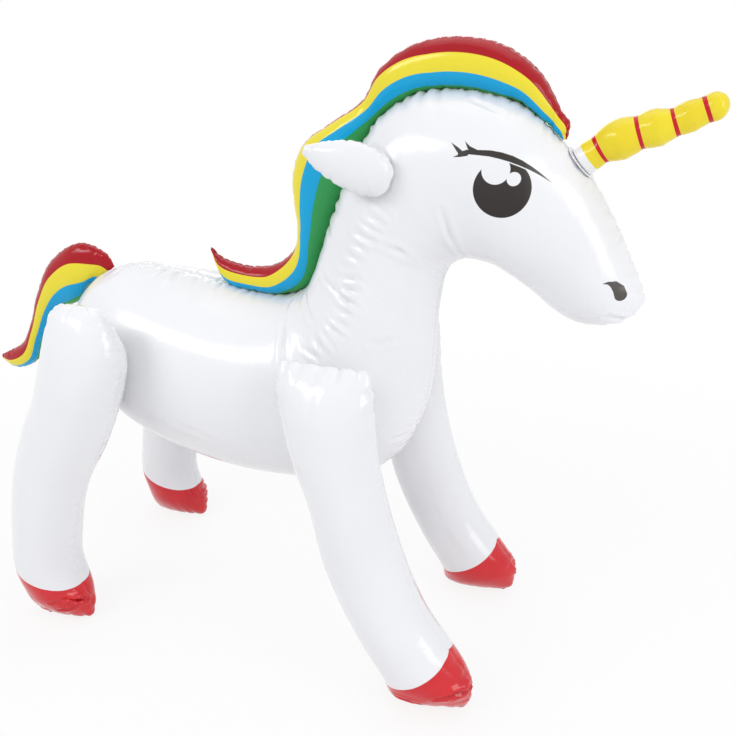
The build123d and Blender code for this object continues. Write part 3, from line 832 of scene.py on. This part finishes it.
def crumple(leg, middle):
    """A short crooked fold on the outer film round a point of x and z near a hoof's tip."""
    film = leg.points[:, 1:leg.half].reshape(-1, 3)
    route = []
    for shift in (-1, 0.2, 1):
        x = middle[0] + rng.uniform(8, 15) * shift
        z = middle[1] + rng.uniform(-5, 5)
        spot = film[np.argmin((film[:, 0] - x) ** 2 + (film[:, 2] - z) ** 2)]
        if not route or np.linalg.norm(spot - route[-1]) > 1:
            route.append(spot)
    width, depth = rng.uniform(1.6, 2.3), rng.uniform(2.2, 3.8)
    if len(route) > 1:
        leg.crease(route, width, depth, lip=0.5)


for legs, toe, heel in ((fore, (252, 34), (196, 14)), (hind, (-226, 34), (-284, 16))):
    for leg in legs.values():
        for spot in (toe, toe, toe, toe, heel):
            crumple(leg, spot + rng.uniform(-9, 9, 2))
        leg.stand()

body.sink_seams(0.9, 2.6)
mane.sink_seams(0.5, 1.8)
tail.sink_seams(0.5, 1.8)
for pouch in (body, mane, tail, horn, *both_ears, *four_legs):
    pouch.close_ends()


def hoof_paint(pouch, ring, tilt):
    """0.5 at the hoof's upper edge, more below it: distance along the leg, tilted across it."""
    centre = (pouch.rest[:, 0] + pouch.rest[:, pouch.half]) / 2
    row = int(np.argmin(np.abs(centre[:, 2] - ring)))
    across = np.cos(pouch.turn)[None]
    bow = np.abs(np.sin(pouch.turn))[None]
    below = pouch.along[:, None] - pouch.along[row] + tilt[0] * across + tilt[1] * bow
    return 0.5 + below / HOOF_SCALE


def stripe_paint(pouch, shift, strength):
    """0 at the rim and 1 at the foot, moved by a share that varies along the pouch."""
    share = np.linspace(0, 1, pouch.half + 1)[None]
    return share + strength * np.interp(pouch.along / pouch.along[-1], *shift)[:, None]


def band_paint(pouch, centres):
    """Distance in cm from the nearest printed band."""
    middle_x = (pouch.rest[:, 0] + pouch.rest[:, pouch.half])[:, 0] / 2
    marks = np.interp(centres, middle_x, pouch.along)
    return np.abs(pouch.along[:, None] - marks).min(1)[:, None] / 10


# ------------------------------------------------------------------ pieces
# How far the stripes move at shares of a pouch's length. On the left side they move the other way,
# and less.
MANE_SHIFT = ([0, 0.16, 0.30, 0.48, 0.60, 0.72, 1], [0, 0, 0.24, 0.24, 0.10, 0, 0])
TAIL_SHIFT = ([0, 0.25, 0.5, 0.8, 1], [0.03, 0, -0.06, -0.12, -0.16])
RIGHT_STRIPES, LEFT_STRIPES = 1, -0.4
HORN_BANDS = (326.5, 358.5, 387, 411.8)  # x of the middle of each band
# A hoof's printed edge: its height in the leg's middle, and its tilt across and by the bulge, in mm.
FORE_HOOF, HIND_HOOF = (50, (0, -9)), (66, (-15, -4))
HOOF_SCALE = 200  # mm for one unit of a leg's paint value

film_white = body_material()
film_leg = leg_material()
film_striped = striped_material()
film_horn = horn_material()
film_plain = plain_material()

bands = band_paint(horn, HORN_BANDS)
for side, name, strength in ((1, "right", RIGHT_STRIPES), (-1, "left", LEFT_STRIPES)):
    mane_stripes = stripe_paint(mane, MANE_SHIFT, strength)
    tail_stripes = stripe_paint(tail, TAIL_SHIFT, strength)
    for part, pouch, ridden, print_value, material, slot in (
            ("body", body, "figure", None, film_white, "white_film"),
            ("mane", mane, "figure", mane_stripes, film_striped, "striped_film"),
            ("tail", tail, "tail", tail_stripes, film_striped, "striped_film"),
            ("horn", horn, "figure", bands, film_horn, "yellow_film")):
        sheet = pouch.panel(f"{part}_sheet_{name}", side, paint=print_value)
        place(sheet, f"{part}_film_{name}", ridden, material, slot)

for name in ("right", "left"):
    mirror = name == "left"
    for side, face in ((1, "outer"), (-1, "inner")):
        ear_sheet = ears[name].panel(f"ear_{name}_sheet_{face}", side, mirror)
        place(ear_sheet, f"ear_{name}_film_{face}", f"ear_{name}", film_plain, "white_film")
        for end, legs, (ring, tilt) in (("fore", fore, FORE_HOOF), ("hind", hind, HIND_HOOF)):
            hoof = hoof_paint(legs[name], ring, tilt)
            sheet = legs[name].panel(f"leg_{end}_{name}_sheet_{face}", side, mirror, hoof)
            place(sheet, f"leg_{end}_{name}_film_{face}", f"leg_{end}_{name}", film_leg, "white_film")

clear = vinyl_material()
for node in ("valve_flange", "valve_stem", "valve_plug", "valve_plug_tether", "valve_flap", "horn_collar"):
    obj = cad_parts[node]
    obj.data.materials.clear()
    obj.data.materials.append(film_plain if node == "horn_collar" else clear)

# ------------------------------------------------------------------ floor, light and camera
# All places and sizes are in metres.
FLOOR_RADIUS, FLOOR_SIDES, FLOOR_TOP = 7, 64, -0.0008
NEAR, FAR = 0.45, 1.3  # between these distances the floor's own shadows fade to white
NEAR_WHITE, FAR_WHITE = 0.85, 1.0  # how white the floor looks there
# Each softbox: where it hangs, what it aims at, its width and height, and its power in watts.
LAMPS = [
    ("key", (-1.1, -1.5, 1.7), (0, 0, 0.35), (1.4, 0.42), 15),
    ("side", (1.9, -0.7, 1.1), (0.05, 0, 0.35), (0.9, 1.3), 12),
    ("top", (0.1, 0.3, 2.2), (0.05, 0, 0.3), (1.6, 1.2), 5),
    ("back", (-0.6, 1.9, 1.2), (0, 0, 0.35), (1.2, 1.0), 5),
]
FILL_COLOUR, FILL_STRENGTH = (0.97, 0.98, 1.0, 1), 0.71
CAMERA_AT, CAMERA_AIM = (0.4057, -0.7882, 0.6533), (0.0999, 0, 0.3287)
LENS, SENSOR = 40.03, 36  # in mm

scene = bpy.context.scene
scene.view_settings.view_transform = "Standard"


def seen_as_white(tree):
    """1 for camera, transmission and glossy rays, which see plain white, and 0 for the others."""
    rays = tree.nodes.new("ShaderNodeLightPath")
    largest = rays.outputs["Is Camera Ray"]
    for kind in ("Is Transmission Ray", "Is Glossy Ray"):
        node = tree.nodes.new("ShaderNodeMath")
        node.operation = "MAXIMUM"
        tree.links.new(largest, node.inputs[0])
        tree.links.new(rays.outputs[kind], node.inputs[1])
        largest = node.outputs[0]
    return largest


def floor():
    """A round pale floor; what the camera and the gloss see of it is close to white."""
    turns = np.linspace(0, 2 * pi, FLOOR_SIDES + 1)[:-1]
    rim = [(FLOOR_RADIUS * cos(t), FLOOR_RADIUS * sin(t), FLOOR_TOP) for t in turns]
    faces = [(0, i + 1, (i + 1) % FLOOR_SIDES + 1) for i in range(FLOOR_SIDES)]
    mesh = bpy.data.meshes.new("floor")
    mesh.from_pydata([(0, 0, FLOOR_TOP), *rim], [], faces)
    obj = bpy.data.objects.new("floor", mesh)
    scene.collection.objects.link(obj)
    paint = Paint("floor_paper")
    grain = paint.noise(paint.coordinates(), 60, 4)
    paint.feed(paint.shader.inputs["Base Color"], paint.mix(grain, PAPER, PALE_PAPER))
    paint.shader.inputs["Roughness"].default_value = 0.9
    glow = paint.tree.nodes.new("ShaderNodeEmission")
    glow.inputs["Strength"].default_value = 1.0
    outward = paint.vector("LENGTH", paint.coordinates(), out=1)
    share = paint.ramp(outward, NEAR, FAR, NEAR_WHITE, FAR_WHITE, kind="SMOOTHSTEP")
    blend = paint.tree.nodes.new("ShaderNodeMixShader")
    paint.feed(blend.inputs[0], paint.math("MULTIPLY", seen_as_white(paint.tree), share))
    paint.feed(blend.inputs[1], paint.shader.outputs[0])
    paint.feed(blend.inputs[2], glow.outputs[0])
    paint.feed(paint.tree.nodes["Material Output"].inputs[0], blend.outputs[0])
    obj.data.materials.append(paint.material)


def aimed(obj, where, aim):
    """The object placed at a point and turned to look at another."""
    obj.location = where
    obj.rotation_euler = (Vector(aim) - Vector(where)).to_track_quat("-Z", "Y").to_euler()
    scene.collection.objects.link(obj)
    return obj


def softbox(name, where, aim, size, power):
    lamp = bpy.data.lights.new(name, "AREA")
    lamp.shape = "RECTANGLE"
    lamp.size, lamp.size_y = size
    lamp.energy = power
    aimed(bpy.data.objects.new(name, lamp), where, aim)


def studio():
    """A world that lights with a soft fill and that the camera and the gloss see as white."""
    world = bpy.data.worlds.new("studio")
    scene.world = world
    world.use_nodes = True
    tree = world.node_tree
    fill = tree.nodes["Background"]
    fill.inputs["Color"].default_value = FILL_COLOUR
    fill.inputs["Strength"].default_value = FILL_STRENGTH
    white = tree.nodes.new("ShaderNodeBackground")
    white.inputs["Color"].default_value = (1, 1, 1, 1)
    white.inputs["Strength"].default_value = 1.0
    blend = tree.nodes.new("ShaderNodeMixShader")
    for socket, value in zip(blend.inputs, (seen_as_white(tree), fill.outputs[0], white.outputs[0])):
        tree.links.new(value, socket)
    tree.links.new(blend.outputs[0], tree.nodes["World Output"].inputs[0])


floor()
for lamp in LAMPS:
    softbox(*lamp)
studio()

lens = bpy.data.cameras.new("camera")
lens.lens = LENS
lens.sensor_width = SENSOR
scene.camera = aimed(bpy.data.objects.new("camera", lens), CAMERA_AT, CAMERA_AIM)
